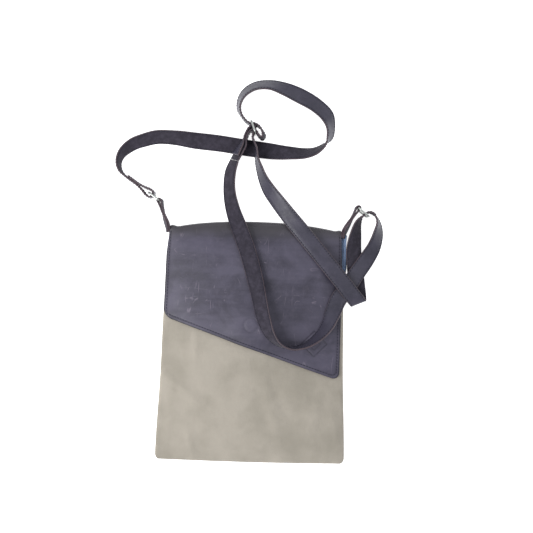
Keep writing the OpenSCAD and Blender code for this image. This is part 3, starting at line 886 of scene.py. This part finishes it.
def make_flap():
    """The flap's outer leather, its backing and the stitches through both."""
    grid = flap_grid(LEATHER_MID, lambda x, y: flap_relief(x, y) + flap_marks(x, y))
    inset = np.clip(flap_inset(grid[..., 0], grid[..., 1]), 0, 50)
    edge = np.clip(1 - inset / 1.3, 0, 1) * (grid[..., 1] < FLAP_FOLD_Y)
    pressed = np.clip(-flap_marks(grid[..., 0], grid[..., 1]) / 0.9, 0, 0.6) * (grid[..., 2] > 6)
    edge = np.maximum(edge, pressed)
    flap = slab("flap", grid, LEATHER_T, [FLAP, BACKING, EDGE], edge=edge)
    inner = flap_grid(BACKING_MID, flap_relief)[:-8, 1:-1][:, ::2]
    backing = slab("flap_back_layer", inner, BACKING_T, [BACKING, BACKING, EDGE])
    # Stitches along both sides and the slanted edge, on the leather's upper face
    path = stitch_line(FLAP_STITCH_IN)
    x, y = path[:, 0], path[:, 1]
    up_z = cover_z(x, y) + LEATHER_MID + LEATHER_T / 2 + flap_relief(x, y) - 0.35
    slope_x = cover_z(x - 1, y) - cover_z(x + 1, y)
    slope_y = cover_z(x, y - 1) - cover_z(x, y + 1)
    lift = unit(np.stack([slope_x, slope_y, 2 + 0 * x], -1))
    at = np.stack([x, y, up_z], -1) + (lift - [0, 0, 1]) * (LEATHER_MID + 1)
    top = stitches("flap_stitches", [(at, lift)], THREAD, 4.4, 3.0, 1.1, 0.0)
    under = at - lift * (LEATHER_MID + 1 - BACKING_MID + BACKING_T / 2 - 0.2)
    low = stitches("flap_back_stitches", [(under, -lift)], THREAD, 4.4, 3.0, 0.7, 0.0)
    for o in (flap, backing, top, low):
        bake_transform(o)
    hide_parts("flap_leather")
    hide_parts("flap_backing")


def stitch_line(inset):
    """The line inside the flap's outline: down the left side, along the slant, up the right side."""
    slope = -FLAP_SLANT / (FLAP_RIGHT_X - FLAP_LEFT_X)
    rise = inset * math.hypot(1, slope)
    left, right = FLAP_LEFT_X + inset, FLAP_RIGHT_X - inset
    r = FLAP_CORNER_R - inset
    corners = [np.array(c) for c in (
        (FLAP_TOP_LEFT_X + inset, FLAP_STITCH_TOP_Y), (left, flap_edge(left) + rise),
        (right, flap_edge(right) + rise), (right, FLAP_STITCH_TOP_Y),
    )]
    points = [corners[0]]
    for before, at, after in zip(corners, corners[1:], corners[2:]):
        a, b = unit(before - at), unit(after - at)
        cut = r / math.tan(math.acos(np.clip(a @ b, -1, 1)) / 2)
        for t in np.linspace(0, 1, 9):
            points.append((1 - t) ** 2 * (at + a * cut) + 2 * t * (1 - t) * at + t**2 * (at + b * cut))
    points.append(corners[3])
    points = np.array(points)
    reach = np.concatenate([[0], np.cumsum(np.linalg.norm(np.diff(points, axis=0), axis=1))])
    return np.stack([np.interp(np.arange(0, reach[-1], 1.0), reach, points[:, k]) for k in (0, 1)], 1)


def make_snap():
    """The magnetic snap: a cup with its magnet on the front, a stud under the flap, and their washers."""
    x, y = SNAP
    base = float(pocket_z(np.array(x), np.array(y)))
    cup = [(3.4, 4.55), (3.4, 5.25), (8.2, 5.25), (8.9, 4.7), (9, 2.75), (8.2, 2.75), (8.2, 4.4)]
    magnet = [(3.6, 2.8), (3.6, 4.4), (7.9, 4.4), (7.9, 2.8)]
    washer = [(2.5, 0.75), (2.5, 1.35), (8, 1.35), (8, 0.75)]
    stud = [(0.1, 3.5), (2.9, 3.5), (3, 5.5), (8.6, 5.5), (9, 5.8), (9, 6.2), (0.1, 6.2)]
    plate = [(2.5, 7.85), (2.5, 8.25), (7, 8.25), (7, 7.85)]
    # CAD node, this piece's name and profile, its material, the body it rides on and its slot
    made = (
        ("snap_socket", "snap_cup", cup, BRASS, "root", "snap_metal"),
        ("snap_magnet", "snap_magnet_ring", magnet, MAGNET, "root", "magnet"),
        ("snap_socket_washer", "snap_washer", washer, BRASS, "root", "snap_metal"),
        ("snap_stud", "snap_stud_cap", stud, BRASS, "flap", "snap_metal"),
        ("snap_stud_washer", "snap_stud_plate", plate, BRASS, "flap", "snap_metal"),
    )
    for node, name, profile, material, body, slot in made:
        piece = lathe(name, profile, (x, y, base), material)
        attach(piece, body)
        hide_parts(node)


# ---------------------------------------------------------------- tabs, rings and slider


def rounded_frame(first, end, corner=3.2):
    """The closed centre line of an upright wire frame between two bars."""
    first, end = np.array(first, float), np.array(end, float)
    run = unit(end - first)
    length = np.linalg.norm(end - first)
    path = []
    for sx, sz, a0 in ((1, 1, 0), (0, 1, 90), (0, -1, 180), (1, -1, 270)):
        cx = length - corner if sx else corner
        cz = sz * (WIRE_HALF_H - corner)
        for a in np.radians(np.linspace(a0, a0 + 90, 7)):
            path.append((cx + corner * math.cos(a), cz + corner * math.sin(a)))
    dense = []
    for (x0, z0), (x1, z1) in zip(path, path[1:] + path[:1]):
        steps = max(1, int(math.hypot(x1 - x0, z1 - z0) / 2))
        dense += [(x0 + (x1 - x0) * t, z0 + (z1 - z0) * t) for t in np.arange(steps) / steps]
    return [(*(first + run * d), RING_Z + z) for d, z in dense]


def make_hardware():
    """Both rings and the strap's slider, which is a frame with a middle bar."""
    left = tube("left_ring_wire", rounded_frame(*LEFT_RING), WIRE_R, NICKEL)
    right = tube("right_ring_wire", rounded_frame(*RIGHT_RING), WIRE_R, NICKEL)
    frame_wire = tube("slider_frame", rounded_frame(SLIDER[0], SLIDER[2]), WIRE_R, NICKEL)
    bar = [(*SLIDER[1], RING_Z + z) for z in np.linspace(-WIRE_HALF_H, WIRE_HALF_H, 15)]
    bar_wire = tube("slider_bar", bar, WIRE_R * 0.95, NICKEL, closed=False)
    slider = joined("slider", [frame_wire, bar_wire])
    for piece, body, node in (
        (left, "left_ring", "left_ring"), (right, "right_ring", "right_ring"),
        (slider, "slider", "strap_slider"),
    ):
        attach(piece, body)
        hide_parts(node)
    return slider


def make_tab(name, node, bar, centres):
    """A leather strip folded round a ring's bar, its two plies sewn together and let into the corner."""
    ply = 2.5
    middle, side, face = ribbon_frames(centres, 2.0)
    bar = np.array([*bar, RING_Z])
    heading = unit(bar - middle[-1])
    reach = WIRE_R + 0.35 + ply / 2
    out = face * (ply / 2 + 0.05)
    a, b = (list(np.hstack([middle + k * out, side])) for k in (-1, 1))
    loop = []
    for turn in np.radians(np.linspace(-125, 125, 13)):
        at = bar + reach * (heading * math.cos(turn) + face[-1] * math.sin(turn))
        loop.append(np.concatenate([at, side[-1]]))
    rows = np.array(a[:-3] + loop + b[:-3][::-1])
    path = rows[:, :3]
    travel = unit(np.gradient(path, axis=0))
    frames = (path, unit(rows[:, 3:]), unit(np.cross(unit(rows[:, 3:]), travel)))
    shares = 0.35 + 0.65 * smooth((path[:, 1] - centres[0][1]) / 16)
    strip = ribbon(name, frames, STRAP_W, ply, [SMOOTH, FLESH, EDGE], shares)
    count = len(a) - 3
    rows_out = []
    for part in (slice(0, count), slice(len(path) - count, len(path))):
        m, s, f = (v[part] for v in frames)
        for k in (1, -1):
            out = s * k * STITCH_OUT * STRAP_W / 2 * shares[part][:, None]
            rows_out.append((m + out + f * ply / 2, f))
    sewing = stitches(name + "_stitches", rows_out, THREAD, 3.4, 2.4, 0.7)
    for piece in (strip, sewing):
        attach(piece, "root")
    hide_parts(node)


def make_tabs():
    # Each tab's route, in the strap route's terms, from the bag's corner to its ring
    make_tab("left_tab_strip", "left_tab", LEFT_RING[0], [
        (-131.6, 168, 6.5, 4, 76), (-131.8, 174, 9, 4, 74), (-133.2, 181, 13, 4, 76),
        (-136, 189, 15.6, 2, 80), (-139.6, 200, RING_Z, 0, 88), (-142.2, 209.3, RING_Z, 0, 90)])
    make_tab("right_tab_strip", "right_tab", RIGHT_RING[0], [
        (131.8, 166, 6.5, 176, 76), (132.6, 173, 9, 176, 74), (135, 180, 13, 176, 76),
        (138.8, 187.5, 15.6, 178, 80), (144.6, 198, RING_Z, 180, 88), (149.6, 206.6, RING_Z, 180, 90)])


# ---------------------------------------------------------------- the strap


def make_strap():
    """The strap, and the short end of it that is sewn round the slider's middle bar."""
    thread = (THREAD, 4.4, 3.0, 1.0)
    frames = ribbon_frames(STRAP_ROUTE)
    strap = ribbon("shoulder_strap_leather", frames, STRAP_W, STRAP_T, [SMOOTH, FLESH, EDGE])
    sewing = stitches("strap_stitches", strap_rows(frames, STRAP_W, STRAP_T), *thread)
    end_frames = ribbon_frames(SEWN_END_ROUTE, 1.6)
    end = ribbon("strap_end", end_frames, STRAP_W, STRAP_T, [SMOOTH, FLESH, EDGE])
    end_sewing = stitches("strap_end_stitches", strap_rows(end_frames, STRAP_W, STRAP_T), *thread)
    for piece in (strap, sewing):
        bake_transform(piece)
    for piece in (end, end_sewing):
        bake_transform(piece)
    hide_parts("shoulder_strap")
    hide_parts("strap_sewn_end")


# ---------------------------------------------------------------- floor and light


def make_stage():
    """A paper floor, a pale sky and two soft lamps."""
    floor_size, floor_z = 6.0, -0.0002
    bpy.ops.mesh.primitive_plane_add(size=floor_size, location=(0, 0, floor_z))
    floor = bpy.context.object
    floor.name = "floor"
    floor.data.materials.append(paper_floor())
    world = bpy.data.worlds.new("world")
    world.use_nodes = True
    sky = world.node_tree.nodes["Background"].inputs
    sky["Color"].default_value = (0.93, 0.96, 1.0, 1)
    sky["Strength"].default_value = 0.62
    bpy.context.scene.world = world
    for name, place, aim, size, watts in (
        ("key", (-900, -350, 1150), (0, 60, 0), 0.9, 17.0),
        ("fill", (900, 900, 1400), (0, 60, 0), 1.6, 6.0),
    ):
        data = bpy.data.lights.new(name, "AREA")
        data.size = size
        data.energy = watts
        lamp = bpy.data.objects.new(name, data)
        lamp.location = Vector(place) * MM
        lamp.rotation_euler = (Vector(aim) - Vector(place)).to_track_quat("-Z", "Y").to_euler()
        bpy.context.scene.collection.objects.link(lamp)
    bpy.context.scene.view_settings.view_transform = "Standard"


# ---------------------------------------------------------------- build

make_camera()
slider_piece = make_hardware()
make_strap()
make_tabs()

front_canvas, front_lining, hem_stitches = make_front()
back_canvas, back_yoke, back_lining, yoke_stitches = make_back()
for part in (front_canvas, front_lining, hem_stitches, back_canvas, back_yoke, back_lining, yoke_stitches):
    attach(part, "root")
for part, node_name, slot_name in (
    (front_canvas, "front_panel", "canvas"), (front_lining, "front_lining", "lining"),
    (back_canvas, "back_panel", "canvas"), (back_yoke, "back_yoke", "flap_leather"),
    (back_lining, "back_lining", "lining"),
):
    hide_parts(node_name)

make_flap()
make_snap()
make_stage()
